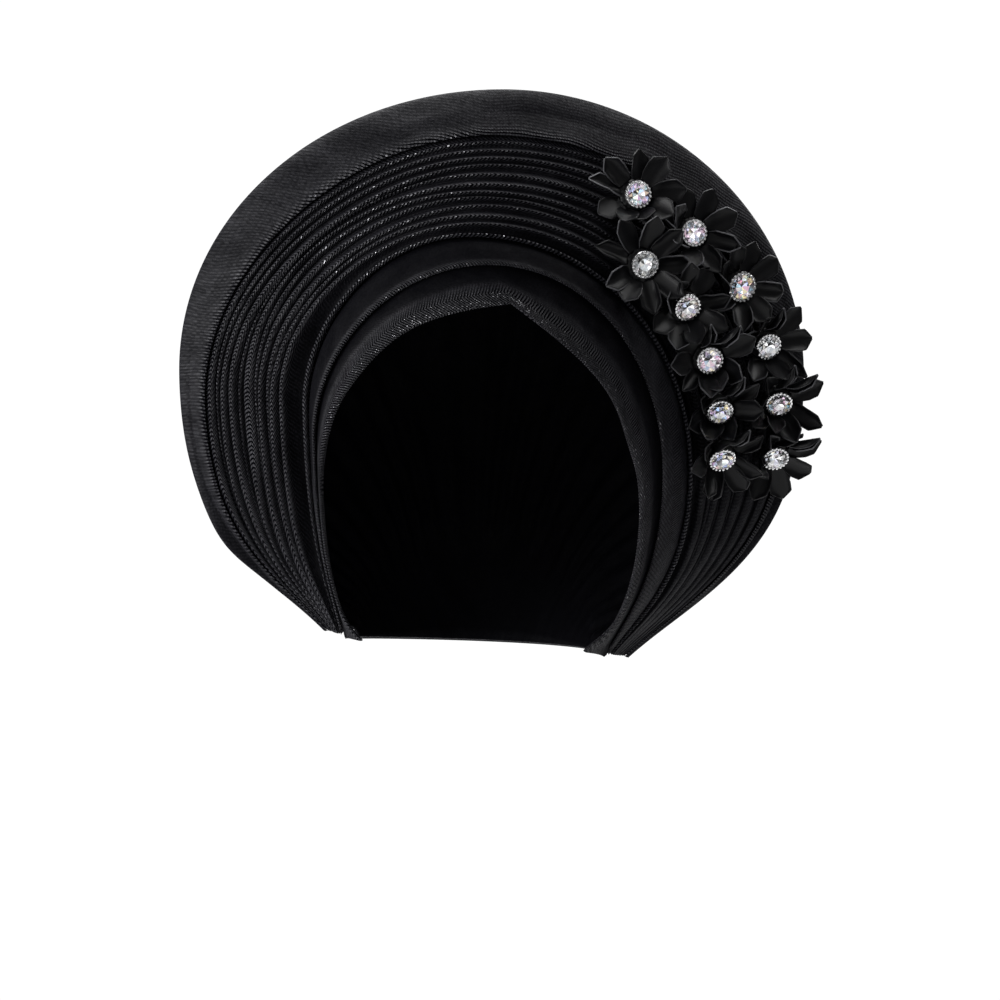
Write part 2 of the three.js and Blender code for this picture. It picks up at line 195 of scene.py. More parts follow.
def outward(along):
    tangent = unit(on_arches(bezier_slope, along)).sum(axis=0)
    arches = on_arches(bezier, along)
    return unit(np.cross(tangent, arches[-1] - arches[0]))


def loft_share(along):
    return mix(GATHER_LOFT, 1, smoothstep(np.minimum(along, ENDS - along), 0, GATHER_LENGTH))


def fold_places(across, depth, along):
    """Points on the folds: station, point, xyz. across and depth have a column for each point."""
    shape = (len(along), np.shape(across)[-1])
    across, depth = np.broadcast_to(across, shape), np.broadcast_to(depth, shape)
    arches = on_arches(bezier, along)
    fold = np.clip(across.astype(int), 0, LAST_FOLD)
    station = np.arange(len(along))[:, None]
    base = mix(arches[fold, station], arches[fold + 1, station], (across - fold)[..., None])
    return base + outward(along)[:, None] * (depth * loft_share(along)[:, None])[..., None]


def nape_points(share):
    angle = math.pi * (1 - share)
    x = NAPE["middle"] + NAPE["half_width"] * np.cos(angle)
    y = NAPE["front"] + NAPE["depth"] * np.sin(angle)
    return np.stack([x, y, mix(NAPE["left_z"], NAPE["right_z"], share)], -1)


def crown_controls(along):
    rim = fold_places([CROWN["across"]], [CROWN["depth"]], along)[:, 0]
    nape = nape_points(mix(NAPE_FROM, NAPE_TO, along / ENDS))
    span = np.linalg.norm(rim - nape, axis=1)
    back = rim + np.stack([-CROWN["narrowing"] * rim[:, 0], CROWN["back"] * span, 0 * span], -1)
    away = unit((nape - (NAPE["middle"], NAPE["front"], 0)) * (1, 1, 0))
    low = nape + away * CROWN["out"] * span[:, None]
    low[:, 2] += CROWN["rise"] * span
    return np.stack([rim, back, low, nape], 1)


CROWN_STEP = 0.01


def crown_places(across, depth, along):
    """Points on the crown's course, raised over it by depth."""
    shape = (len(along), np.shape(across)[-1])
    t = np.broadcast_to(across, shape)[..., None]

    def course(curve, stations):
        return curve(crown_controls(stations)[:, None], t)

    before = course(bezier, np.maximum(along - CROWN_STEP, 0))
    after = course(bezier, np.minimum(along + CROWN_STEP, ENDS))
    normal = unit(np.cross(after - before, course(bezier_slope, along)))
    return course(bezier, along) + normal * np.broadcast_to(depth, shape)[..., None]


def stations(lower, upper):
    """Places along the arches, with that many steps in each lower and each upper quarter."""
    steps = (lower, upper, upper, lower)
    runs = [quarter + np.arange(count) / count for quarter, count in enumerate(steps)]
    return np.append(np.concatenate(runs), ENDS)


def wobble(along, seed, waves=7):
    """A smooth curve of about unit size along the arches, the same on each run."""
    draw = np.random.default_rng(seed)
    size, phase = draw.normal(size=waves), draw.uniform(0, TAU, size=waves)
    rates = np.arange(1, waves + 1) * TAU / ENDS
    return sum(a * np.sin(rate * along + p) for a, rate, p in zip(size, rates, phase)) / math.sqrt(waves / 2)


def rounded(rings, times):
    """Closed rings with their corners cut away, so that lips and creases are round."""
    for _ in range(times):
        after = np.roll(rings, -1, axis=1)
        pair = np.stack([mix(rings, after, 0.25), mix(rings, after, 0.75)], 2)
        rings = pair.reshape(len(rings), -1, rings.shape[-1])
    return rings


def resampled(rings, count):
    """Closed rings with evenly spaced points."""
    whole = closed(rings)
    lengths = running(np.linalg.norm(np.diff(whole[..., :3], axis=1), axis=-1), 1)
    out = np.empty((len(rings), count, rings.shape[-1]))
    for i, (ring, length) in enumerate(zip(whole, lengths)):
        wanted = np.arange(count) * length[-1] / count
        for axis in range(rings.shape[-1]):
            out[i, :, axis] = np.interp(wanted, length, ring[:, axis])
    return out


def weave_coordinates(rings, middle):
    """Lengths along and across the cloth at each point, with one more column where a ring closes."""
    whole = closed(rings)
    along = running(np.linalg.norm(np.diff(whole, axis=0), axis=-1) * STRETCH[1:, None], 0)
    across = running(np.linalg.norm(np.diff(whole, axis=1), axis=-1), 1)
    return along - along[middle], across


def new_object(name, data):
    made = bpy.data.objects.new(name, data)
    bpy.context.collection.objects.link(made)
    return made


def new_piece(name, points, faces, corners, attribute, material):
    """A mesh piece from points in millimetres, with one value of a named attribute for each face corner."""
    mesh = bpy.data.meshes.new(name)
    mesh.from_pydata(np.asarray(points) * MM, [], faces)
    layer = mesh.attributes.new(attribute, "FLOAT_VECTOR", "CORNER")
    layer.data.foreach_set("vector", np.asarray(corners, np.float32).ravel())
    mesh.shade_smooth()
    mesh.materials.append(material)
    piece = new_object(name, mesh)
    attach(piece, "root")
    return piece


def level_coordinates(points):
    """Lengths across and along ribs that run level on the left and fall away to the right."""
    x, y, z = np.moveaxis(closed(points), -1, 0)
    slack = sum(size * np.sin(by_x * x + by_z * z) for size, by_x, by_z in LEVEL_WAVES)
    fall = LEVEL_FALL * np.maximum(x - LEVEL_FALL_FROM, 0) ** 2
    return z + LEVEL_RISE * x + fall + slack, LEVEL_RUN[0] * x + LEVEL_RUN[1] * y


def cloth_piece(name, rings, material, column=9.0, fineness=1.0):
    """A closed loft through rings whose points are x, y, z, share of glitter and, where the ribs turn at
    crests, the distance to the crest. Elsewhere the ribs turn at columns of that width, or run level if it is
    0. A finer weave shows where the cloth lies on the bias."""
    count, size = rings.shape[:2]
    points = rings[..., :3]
    along, across = weave_coordinates(points, count // 2) if column else level_coordinates(points)
    whole = closed(rings)
    zigzag = 0 * across
    if rings.shape[-1] > 4:
        zigzag = whole[..., 4]
    elif column:
        zigzag = column - np.abs(across % (2 * column) - column)
    weave = np.stack([fineness * (along + SLANT * zigzag), fineness * across, whole[..., 3]], -1)
    i, j = np.meshgrid(np.arange(count - 1), np.arange(size), indexing="ij")
    k = (j + 1) % size
    quads = np.stack([i * size + j, i * size + k, (i + 1) * size + k, (i + 1) * size + j], -1).reshape(-1, 4)
    corners = np.stack([weave[i, j], weave[i, j + 1], weave[i + 1, j + 1], weave[i + 1, j]], 2).reshape(-1, 3)
    ends = [list(range(size))[::-1], list(range((count - 1) * size, count * size))]
    faces = quads.tolist() + ends
    corners = np.concatenate([corners, weave[0, :size][::-1], weave[-1, :size]])
    return new_piece(name, points.reshape(-1, 3), faces, corners, "weave", material)


def with_share(places, *shares):
    """Places with more values for each point of the ring."""
    more = [np.broadcast_to(share, places.shape[:2])[..., None] for share in shares]
    return np.concatenate([places, *more], -1)


def columns(*rows):
    return np.array(rows, float).T


# Nodes and materials

def new_material(name):
    material = bpy.data.materials.new(name)
    material.use_nodes = True
    return material, material.node_tree, material.node_tree.nodes["Principled BSDF"]


def feed(tree, socket, value):
    """Sets a socket to a value, or links another socket to it."""
    if isinstance(value, bpy.types.NodeSocket):
        tree.links.new(value, socket)
    else:
        socket.default_value = value


def node(tree, kind, inputs, **settings):
    made = tree.nodes.new(kind)
    for key, value in settings.items():
        setattr(made, key, value)
    for key, value in inputs.items():
        feed(tree, made.inputs[key], value)
    return made


def maths(tree, operation, *values):
    return node(tree, "ShaderNodeMath", dict(enumerate(values)), operation=operation).outputs[0]


def ramp(tree, factor, *stops):
    made = node(tree, "ShaderNodeValToRGB", {"Fac": factor})
    elements = made.color_ramp.elements
    while len(elements) < len(stops):
        elements.new(0.5)
    for element, (position, colour) in zip(elements, stops):
        element.position = position
        element.color = (*colour, 1)
    return made.outputs["Color"]


def spread(tree, value, low, high, start=0.0, end=1.0, kind="LINEAR"):
    """A number between start and end as one from low to high."""
    ends = {"From Min": start, "From Max": end, "To Min": low, "To Max": high}
    made = node(tree, "ShaderNodeMapRange", {"Value": value, **ends}, interpolation_type=kind)
    return made.outputs["Result"]


def noise(tree, vector, scale, detail):
    made = node(tree, "ShaderNodeTexNoise", {"Vector": vector, "Scale": scale, "Detail": detail})
    return made.outputs["Fac"]


def blended(tree, share, first, second):
    """A colour between two colours."""
    return node(tree, "ShaderNodeMix", {0: share, 6: first, 7: second}, data_type="RGBA").outputs[2]


def bumps(tree, height, strength, distance):
    """Normals for a height map that stands this far out, in millimetres."""
    made = node(tree, "ShaderNodeBump", {"Strength": strength, "Distance": distance * MM, "Height": height})
    return made.outputs["Normal"]


def attribute(tree, name):
    """A mesh attribute, whole and as its three parts."""
    whole = node(tree, "ShaderNodeAttribute", {}, attribute_name=name).outputs["Vector"]
    return whole, *node(tree, "ShaderNodeSeparateXYZ", {0: whole}).outputs


def set_shader(tree, shader, **inputs):
    for key, value in inputs.items():
        feed(tree, shader.inputs[key.replace("_", " ")], value)


METAL_TINTS = ((0.0, (0.035, 0.035, 0.039)), (0.55, (0.1, 0.1, 0.108)), (1.0, (0.4, 0.4, 0.42)))
CLOTH_TINTS = ((0.0, (0.0007, 0.0007, 0.0011)), (1.0, (0.0107, 0.0104, 0.0145)))
# Paler colour of the metal yarn where it lies: a real yarn and a painted highlight on lit crests
THREAD_AND_PAINTED_HIGHLIGHT = (0.024, 0.024, 0.0265, 1)
SATIN_TINTS = ((0.3, (0.0014, 0.0014, 0.0018)), (0.75, (0.004, 0.004, 0.005)))
# Paler colour of the melted petal edges: a real edge and a painted highlight where it catches the light
SEALED_EDGE_AND_HIGHLIGHT = (0.08, 0.08, 0.087, 1)


def cloth_material():
    """Black herringbone weave with slanting ribs, and a metal yarn that glints on the crests and is paler
    where it lies in the light, a painted highlight.
    """
    material, tree, shader = new_material("gele_cloth")
    weave, slanted, across, crest = attribute(tree, "weave")
    plain = maths(tree, "MAXIMUM", maths(tree, "MULTIPLY", crest, -1.0), 0.0)
    # The share of metal yarn, laid on crests and lips where the folds catch the light: a real yarn and a
    # painted highlight.
    glitter = maths(tree, "MAXIMUM", crest, 0.0)

    uneven = maths(tree, "MULTIPLY", noise(tree, weave, 0.22, 2.0), 0.6)
    waver = maths(tree, "MULTIPLY_ADD", noise(tree, weave, 1.1, 1.0), glitter, uneven)
    phase = maths(tree, "ADD", maths(tree, "DIVIDE", slanted, RIB), waver)
    wave = maths(tree, "SINE", maths(tree, "MULTIPLY", phase, TAU))
    rib = spread(tree, wave, 0.0, 1.0, -0.8, 0.8, "SMOOTHSTEP")
    row = maths(tree, "FLOOR", maths(tree, "ADD", phase, 0.25))
    stitches = maths(tree, "MULTIPLY_ADD", row, 0.5, maths(tree, "DIVIDE", across, STITCH))
    stitch = maths(tree, "ABSOLUTE", maths(tree, "SINE", maths(tree, "MULTIPLY", stitches, math.pi)))
    woven = maths(tree, "MULTIPLY", rib, maths(tree, "MULTIPLY_ADD", stitch, 0.8, 0.2))
    smooth = spread(tree, plain, 0.27, 0.06, 0.8, 1.0)
    yarn = node(tree, "ShaderNodeMix", {0: plain, 2: woven, 3: smooth}).outputs[0]

    cell = node(tree, "ShaderNodeCombineXYZ", {0: row, 1: maths(tree, "FLOOR", stitches)}).outputs[0]
    random = node(tree, "ShaderNodeTexWhiteNoise", {"Vector": cell}, noise_dimensions="2D")
    stretched = node(tree, "ShaderNodeMapping", {"Vector": weave, "Scale": (0.035, 0.2, 0)}).outputs[0]
    lit = spread(tree, noise(tree, stretched, 1.0, 1.0), 0.0, 1.0, 0.33, 0.55)
    picked = maths(tree, "LESS_THAN", random.outputs["Value"], maths(tree, "MULTIPLY", glitter, lit))
    glint = maths(tree, "MULTIPLY", picked, maths(tree, "GREATER_THAN", yarn, 0.8))
    tint = node(tree, "ShaderNodeSeparateColor", {0: random.outputs["Color"]}).outputs[1]

    cloudy = noise(tree, weave, 0.06, 3.0)
    grain = node(tree, "ShaderNodeVectorMath", {0: weave, 1: (0.6, 0.6, 10.0)}, operation="SNAP").outputs[0]
    speck = node(tree, "ShaderNodeTexWhiteNoise", {"Vector": grain}, noise_dimensions="3D").outputs["Value"]
    mottled = maths(tree, "MULTIPLY", spread(tree, cloudy, 0.2, 1.8), spread(tree, speck, 0.6, 1.4))
    tone = maths(tree, "MULTIPLY", yarn, mottled)
    # The metal yarn makes the colour paler where it lies, on lit crests and lips: a real yarn and a painted
    # highlight.
    thread_and_painted_highlight = maths(tree, "MULTIPLY", glitter, woven)
    dull = blended(tree, thread_and_painted_highlight, ramp(tree, tone, *CLOTH_TINTS), THREAD_AND_PAINTED_HIGHLIGHT)
    set_shader(
        tree, shader, Base_Color=blended(tree, glint, dull, ramp(tree, tint, *METAL_TINTS)), Metallic=glint,
        Roughness=maths(tree, "MULTIPLY_ADD", glint, -0.25, spread(tree, yarn, 0.7, 0.5)),
        Normal=bumps(tree, yarn, 0.7, 0.35),
        Specular_IOR_Level=spread(tree, tone, 0.0, 0.33), Sheen_Weight=spread(tree, tone, 0.0, 0.037),
        Sheen_Roughness=0.4, Sheen_Tint=(0.74, 0.72, 0.92, 1),
    )
    return material


def satin_material():
    """Black satin ribbon with a fine run of threads and paler, melted edges; the paler edges are also a
    painted highlight where they catch the light.
    """
    material, tree, shader = new_material("petal_satin")
    _, across, along, seal_and_highlight = attribute(tree, "ribbon")
    crosswise = maths(tree, "MULTIPLY", across, 9.0)
    stretched = node(tree, "ShaderNodeCombineXYZ", {0: crosswise, 1: along}).outputs[0]
    threads = noise(tree, stretched, 0.8, 2.0)
    # Paler melted edges: a real edge and a painted highlight.
    edge = spread(tree, seal_and_highlight, 0.0, 1.0, 0.5, 1.0, "SMOOTHSTEP")
    set_shader(
        tree, shader, Base_Color=blended(tree, edge, ramp(tree, threads, *SATIN_TINTS), SEALED_EDGE_AND_HIGHLIGHT),
        Roughness=spread(tree, threads, 0.25, 0.4), Normal=bumps(tree, threads, 0.25, 0.1),
        Specular_IOR_Level=0.15, Sheen_Weight=0.02, Sheen_Roughness=0.3,
    )
    return material


# Tints of the facets: the coloured stops are the stone's iridescent coat, and the dark and grey stops paint
# shaded facets on a foil that is silver all over.
FACET_TINTS_AND_SHADES = (
    (0.0, (0.05, 0.05, 0.05)), (0.2, (0.4, 0.4, 0.42)), (0.34, (0.95, 0.95, 0.97)),
    (0.52, (0.93, 0.93, 0.95)), (0.6, (0.95, 0.55, 0.72)), (0.7, (0.6, 0.56, 0.95)),
    (0.8, (0.48, 0.76, 0.97)), (0.9, (0.97, 0.82, 0.42)), (1.0, (0.95, 0.95, 0.95)),
)
PALEST_FACET = 0.97


def tinted(tree, pale):
    """Iridescent tints, and dark and grey ones that paint shaded facets, by facet, greyer on the plainer
    stones, made paler by a share.
    """
    _, tint, plain, _ = attribute(tree, "facet")
    vivid, grey = [], []
    for stop, colour in FACET_TINTS_AND_SHADES:
        vivid.append((stop, [mix(part, PALEST_FACET, pale) for part in colour]))
        grey.append((stop, [mix(sum(colour) / 3, PALEST_FACET, pale)] * 3))
    return blended(tree, plain, ramp(tree, tint, *vivid), ramp(tree, tint, *grey))


def crystal_material():
    material, tree, shader = new_material("crystal")
    colour = tinted(tree, 0.75)
    set_shader(tree, shader, Base_Color=colour, Roughness=0.02, Transmission_Weight=1.0, IOR=1.58)
    return material


def foil_material():
    """The mirror behind a stone, with a tint for each facet."""
    material, tree, shader = new_material("crystal_foil")
    set_shader(tree, shader, Base_Color=tinted(tree, 0.0), Metallic=1.0, Roughness=0.05)
    return material


def setting_material():
    material, tree, shader = new_material("setting_silver")
    place = node(tree, "ShaderNodeTexCoord", {}).outputs["Object"]
    grain = noise(tree, place, 900.0, 2.0)
    colour = ramp(tree, grain, (0.3, (0.6, 0.6, 0.61)), (0.7, (0.8, 0.8, 0.81)))
    set_shader(tree, shader, Base_Color=colour, Metallic=1.0, Roughness=spread(tree, grain, 0.12, 0.3))
    return material


CLOTH = cloth_material()
SATIN = satin_material()
STONE_MATERIALS = (crystal_material(), foil_material(), setting_material())


# Cloth pieces

FINE = stations(80, 130)
TO_GATHER = np.minimum(FINE, ENDS - FINE)
# The weave is pulled longer low on the left.
STRETCH = mix(0.62, 1, smoothstep(FINE, 0.4, 1.1))
# The metal thread's glitter, and the paler crests it brings, are laid where the light falls, up and to the
# left on the arches: a painted highlight.
PAINTED_GLINT_SHARE = (smoothstep(FINE, 1.42, 1.68) * mix(1, 0.08, smoothstep(FINE, 1.78, 2.12)))[:, None]
# On the edges over the forehead this painted highlight reaches further to the right.
EDGE_PAINTED_GLINT_SHARE = (smoothstep(FINE, 1.45, 1.78) * mix(1, 0.4, smoothstep(FINE, 2.02, 2.25)))[:, None]
# Left of the face the folds leave a deep pocket.
POCKET = 6.0 * (smoothstep(FINE, 0.3, 0.7) * (1 - smoothstep(FINE, 1.2, 1.65)))[:, None]
# The free edge of the cloth spreads where it meets the gathers.
EDGE_SPREAD = 1.5 * (1 - smoothstep(TO_GATHER, 0, 0.32))[:, None]
# At the very ends the folds are pushed level with each other.
TUCK = (1 - smoothstep(TO_GATHER, 0, 0.09))[:, None]
# The edge comes low on the wearer's temples and stands back beside the eye: place along the arch, reach and
# share of the band's width.
EDGE_DIPS = ((1.45, 0.17, 0.2), (1.02, 0.1, -0.09), (2.74, 0.12, 0.11))
EDGE_DIP = sum(share * hump(FINE, place, reach) for place, reach, share in EDGE_DIPS)[:, None]
# Millimetres by which the band is lowered and the inner fold raised at their very ends
BAND_DROP, INNER_RISE = 1.8, 1.6
# Times that the corners of a section are cut, and points round the section
CUTS, FOLD_POINTS, HALO_POINTS = 3, 90, 190
# The weave of the folds over the forehead, and of the halo
EDGE_WEAVE = {"column": 5.0, "fineness": 1.4}
HALO_WEAVE = {"column": 0, "fineness": 1.25}


def forehead_band():
    across, depth, glitter = columns(
        (0, -1.3, 0.6), (0.07, 0.2, 0.85), (0.3, 0.3, 0.2), (0.5, -0.1, -0.95), (0.8, -1.1, -1),
        (1, -2.4, -1), (1.5, -3.4, -1), (1.5, -5.2, -1), (1, -4.3, -1), (0.5, -2.4, -1), (0.07, -2.3, -0.5),
    )
    drop = BAND_DROP * TUCK * smoothstep(across, 0.3, 0.8)
    across = across - (EDGE_SPREAD + EDGE_DIP) * (1 - smoothstep(across, 0, 0.6))
    # Glitter on the band's edge, laid where the light falls and faint elsewhere: a painted highlight.
    faint = 0.2 * smoothstep(FINE, 0.8, 1.2)[:, None]
    painted_light = np.where(glitter > 0, np.maximum(EDGE_PAINTED_GLINT_SHARE, faint), 1)
    places = fold_places(across, depth, FINE)
    places[..., 2] -= drop
    rings = resampled(rounded(with_share(places, glitter * painted_light), CUTS), FOLD_POINTS)
    return cloth_piece("forehead_band_cloth", rings, CLOTH, **EDGE_WEAVE)


def inner_fold():
    # Its faces are plain cloth at its darkest: a smooth panel, and painted shade where it faces down, away
    # from the light above.
    across, depth, glitter = columns(
        (1, -0.9, 0.7), (1.04, 0.2, 0.8), (1.12, 0.4, -0.95), (1.3, 0.3, -1), (1.6, -0.3, -1),
        (1.86, -1.6, -1), (2, -3.2, -1), (2.4, -5, -1), (2.8, -6.5, -1), (2.8, -8.3, -1), (2.4, -6.9, -1),
        (2, -5.1, -1), (1.5, -1.9, -1), (1.08, -2, 0),
    )
    depth = depth - POCKET * smoothstep(across, 2, 2.4)
    low_left = (1 - smoothstep(FINE, 0.6, 0.9))[:, None] * (1 - smoothstep(across, 1.4, 1.8))
    woven = np.maximum(0.9 * low_left, 0.5 * smoothstep(FINE, 2.4, 2.9)[:, None])
    # Glitter on the lip, laid where the light falls: a painted highlight.
    glitter = np.where(glitter > 0, glitter * np.maximum(EDGE_PAINTED_GLINT_SHARE, 0.25), glitter * (1 - woven))
    places = fold_places(across, depth, FINE)
    places[..., 2] += INNER_RISE * TUCK * (1 - smoothstep(across, 1.05, 1.3))
    rings = resampled(rounded(with_share(places, glitter), CUTS), FOLD_POINTS)
    return cloth_piece("inner_fold_cloth", rings, CLOTH, **EDGE_WEAVE)


# One pleat from its steep inner face to the crevice behind it: share of its width, depth, glitter and
# distance from the crest. It is round at the sides of the head and keener at the top.
PLEAT_SIDE = (
    (-0.02, -3.2, -0.6, 3.6), (-0.05, -1.4, 0, 2.3), (0.06, -0.25, 0.6, 1.2), (0.27, 0.2, 0.9, 0),
    (0.5, 0.05, 0.2, 1.2), (0.7, -0.6, 0, 2.3), (0.83, -1.9, 0, 3.2), (0.92, -3.3, -0.6, 4.2),
)
# At the top the faces below each crest are plain and dark: smooth faces, and painted shade under the crests.
PLEAT_TOP = (
    (-0.02, -2.6, -0.8, 3.4), (-0.06, -1.5, -0.5, 1.9), (-0.03, -0.5, 0.6, 0.8), (0.1, 0.15, 0.9, 0),
    (0.24, -0.2, -0.3, 0.9), (0.44, -1.1, -0.65, 1.8), (0.64, -2.0, -0.75, 2.9), (0.86, -2.8, -0.8, 4),
)
TOP_SHARE = smoothstep(FINE, 1.2, 1.7) * (1 - smoothstep(FINE, 2.4, 2.9))
LOW_LEFT = 1 - smoothstep(FINE, 0.7, 1.6)
LOW_RIGHT = smoothstep(FINE, 2.5, 3.3)
# Slant of the ribs on a pleat, the breadth at which it is full, the slack of its crest, and its sinking where
# it runs out, in millimetres
PLEAT_SLANT, PLEAT_BREADTH = 1.5, 4.2
PLEAT_SLACK, PLEAT_SINK = 0.3, 2.4
# How far the pleats' widths waver, and the plainness of their crests and faces low on the right, which
# darkens them there: a softer weave and painted shade
PLEAT_WAVER = 0.16
SHADED_PLAIN_CREST, SHADED_PLAIN_FACE = -0.82, -0.94
# The outermost pleat has a shallow crevice with a weave that shows.
LAST_DEPTH, LAST_PLAIN = -1.1, -0.3
# Pleats that run out under their neighbours on the way down to the left and to the right, how much of them
# runs out, the number of inner pleats that open out into plain cloth at the gathers, and the share of height
# that these and the others keep there
SHORT_LEFT, SHORT_RIGHT, RUN_OUT = (2, 4, 6, 9), (1, 3, 5, 7, 9), 0.8
OPENING, OPEN_HEIGHT, END_HEIGHT = 5, 0.08, 0.4
# The rest of the fan round its section: the lip over the inner fold, the skirt under the halo, the back and
# the root. Place across the arches, depth, glitter and distance from a crest
# Down in the pocket, from 2.32 to 2.92 across, the cloth is plain and dark: painted shade.
FAN_LIP = (
    (2, -2.4, 0, 2), (1.99, -0.9, 0.6, 1), (2.06, 0.1, 0.6, 0), (2.18, -0.5, 0, 1), (2.32, -2.3, -0.7, 3),
    (2.46, -3.7, -0.92, 5), (2.7, -5, -0.92, 7), (2.92, -4.7, -0.92, 5),
)
FAN_SKIRT = (
    (4.02, -2.2, -1, 4), (4.3, -2.2, -1, 9), (4.62, -2.3, -1, 9), (4.84, -2.1, -1, 9), (4.89, -2.4, -1, 9),
    (4.84, -2.7, -1, 9), (4.62, -2.9, -1, 9), (4.3, -3.4, -1, 9),
)
FAN_BACK = tuple((across, -FAN_WALL, -1, 4) for across in np.linspace(OUTER, INNER + 0.15, 5))
FAN_ROOT = ((2.98, -5.6, -1, 4), (2.8, -6.0, -1, 4), (2.6, -5.3, -1, 4), (2.4, -4.5, -1, 4))


def pleat_strengths():
    """How wide and high each pleat stands: pleat, station."""
    strengths = []
    for k in range(PLEATS):
        left = 1 - RUN_OUT * LOW_LEFT * (k in SHORT_LEFT)
        right = 1 - RUN_OUT * LOW_RIGHT * (k in SHORT_RIGHT)
        strengths.append(left * right)
    return np.array(strengths)


def fan_rows(section):
    """A fixed part of the fan's section, with values for each station."""
    rows = []
    for across, depth, glitter, zigzag in section:
        pocket = smoothstep(across, 2.2, 2.5) * (1 - smoothstep(across, 2.85, 3.05))
        # Glitter laid where the light falls: a painted highlight.
        shine = glitter * (PAINTED_GLINT_SHARE[:, 0] if glitter > 0 else 1)
        rows.append((across + 0 * FINE, depth - POCKET[:, 0] * pocket, shine, zigzag))
    return rows


def pleat_rows():
    """The pleats of the fan's section, from the inner one out."""
    strengths = pleat_strengths()
    widths = strengths * [1 + PLEAT_WAVER * wobble(FINE, 20 + k, 4) for k in range(PLEATS)]
    edges = np.concatenate([0 * FINE[None], np.cumsum(widths, 0)])
    edges = INNER + (OUTER - INNER) * edges / edges[-1]
    rims = fold_places(np.array([INNER, OUTER]), 0, FINE)
    breadth = np.linalg.norm(rims[:, 1] - rims[:, 0], axis=-1)
    rows = []
    for k in range(PLEATS):
        slack = PLEAT_SLACK * (wobble(FINE, 60 + k, 5) - 0.6) - PLEAT_SINK * (1 - strengths[k])
        end_height = OPEN_HEIGHT if k < OPENING else END_HEIGHT
        fade = mix(end_height, 1, smoothstep(TO_GATHER, 0.15, 0.85))
        narrow = np.minimum(breadth * (edges[k + 1] - edges[k]) / PLEAT_BREADTH, 1)
        for side, top in zip(PLEAT_SIDE, PLEAT_TOP):
            share, depth, glitter, zigzag = (mix(a, b, TOP_SHARE) for a, b in zip(side, top))
            if k == PLEATS - 1:
                depth, glitter = np.maximum(depth, LAST_DEPTH), np.maximum(glitter, LAST_PLAIN)
            across = mix(edges[k], edges[k + 1], share)
            raised = fade * (depth + slack * (1 + depth / CREVICE))
            # Glitter is laid where the light falls, a painted highlight; low on the right the pleats turn
            # plain and dark, a softer weave and painted shade.
            plain = np.where(glitter > 0, SHADED_PLAIN_CREST, SHADED_PLAIN_FACE)
            glitter = mix(glitter * np.where(glitter > 0, PAINTED_GLINT_SHARE[:, 0], 1), plain, 0.9 * LOW_RIGHT)
            rows.append((across, raised, glitter, PLEAT_SLANT * narrow * zigzag))
    return rows


def pleated_fan():
    rows = fan_rows(FAN_LIP) + pleat_rows() + fan_rows(FAN_SKIRT + FAN_BACK + FAN_ROOT)
    across, depth, glitter, zigzag = (
        np.stack([np.broadcast_to(row[i], FINE.shape) for row in rows], 1) for i in range(4)
    )
    rings = with_share(fold_places(across, depth, FINE), glitter, zigzag)
    return cloth_piece("pleated_fan_cloth", rounded(rings, 1), CLOTH)


HALO_LOFT = mix(0.45, 1, smoothstep(TO_GATHER, 0.2, 1.0))[:, None]
HALO_CREASE = 1.9 * (smoothstep(TO_GATHER, 0.15, 0.5) * (1 - smoothstep(TO_GATHER, 0.9, 1.3)))[:, None]
# The rim stands out a little low on the left.
HALO_SWELL = 3.4 * hump(FINE, 0.5, 0.16)[:, None]
HALO_DENTS = 0.5 * np.stack([wobble(FINE, seed, 9) for seed in (81, 82)], 1)


def halo_depth(across, depth):
    """Depths of the halo's section, with its crease near the gathers, its dents and its raised rim."""
    crease = HALO_CREASE * hump(across, 4.42, 0.12)
    dents = hump(across, 4.5, 0.22) * (HALO_DENTS[:, :1] + HALO_DENTS[:, 1:] * np.sin(9 * across))
    return depth * HALO_LOFT - crease + dents + (HALO_SWELL + 0.8) * smoothstep(across, 4.3, 4.9)


def halo():
    across, depth, glitter = columns(
        (3.97, 0.3, 0), (3.96, 0.7, 0.35), (4.0, 1.2, 0.25), (4.06, 1.25, -0.5), (4.16, 1.4, -0.8),
        (4.3, 2, -0.8), (4.42, 2.4, -0.8), (4.55, 2.5, -0.8), (4.7, 2.4, -0.8), (4.86, 1.8, -0.8),
        (5, -0.2, -0.7),
    )
    # Glitter on the lip is laid where the light falls, a painted highlight. The plainness, which darkens the
    # halo, is a little less on the left shoulder and much less up on the right: a plain panel with painted
    # light and shade.
    plain_and_painted_shade = mix(1.06, 1.0, smoothstep(FINE, 0.5, 0.9)) + 0.06 * smoothstep(FINE, 1.25, 1.8)
    plain_and_painted_shade = plain_and_painted_shade - 0.36 * smoothstep(FINE, 2.1, 2.6) * (1 - smoothstep(FINE, 2.85, 3.1))
    painted_light = np.where(glitter > 0, PAINTED_GLINT_SHARE, plain_and_painted_shade[:, None])
    front = with_share(fold_places(across, halo_depth(across, depth), FINE), glitter * painted_light)
    across, depth = columns((0, 2.2), (0.04, 2.2), (0.04, 0.4), (0, 0.4))
    flap = with_share(crown_places(across, depth + HALO_SWELL * (1 - 20 * across), FINE), -0.95)
    across, depth = columns((4.84, -0.8), (4.74, 0.3), (4.5, 0.8), (4.42, 0.7), (4.15, 0.4), (4.04, 0.3))
    inside = with_share(fold_places(across, halo_depth(across, depth), FINE), -1)
    rings = np.concatenate([front, flap, inside], 1)
    return cloth_piece("halo_cloth", resampled(rounded(rings, CUTS), HALO_POINTS), CLOTH, **HALO_WEAVE)


CROWN_FOLDS = 26
CROWN_FOLD_DEPTH = 1.5


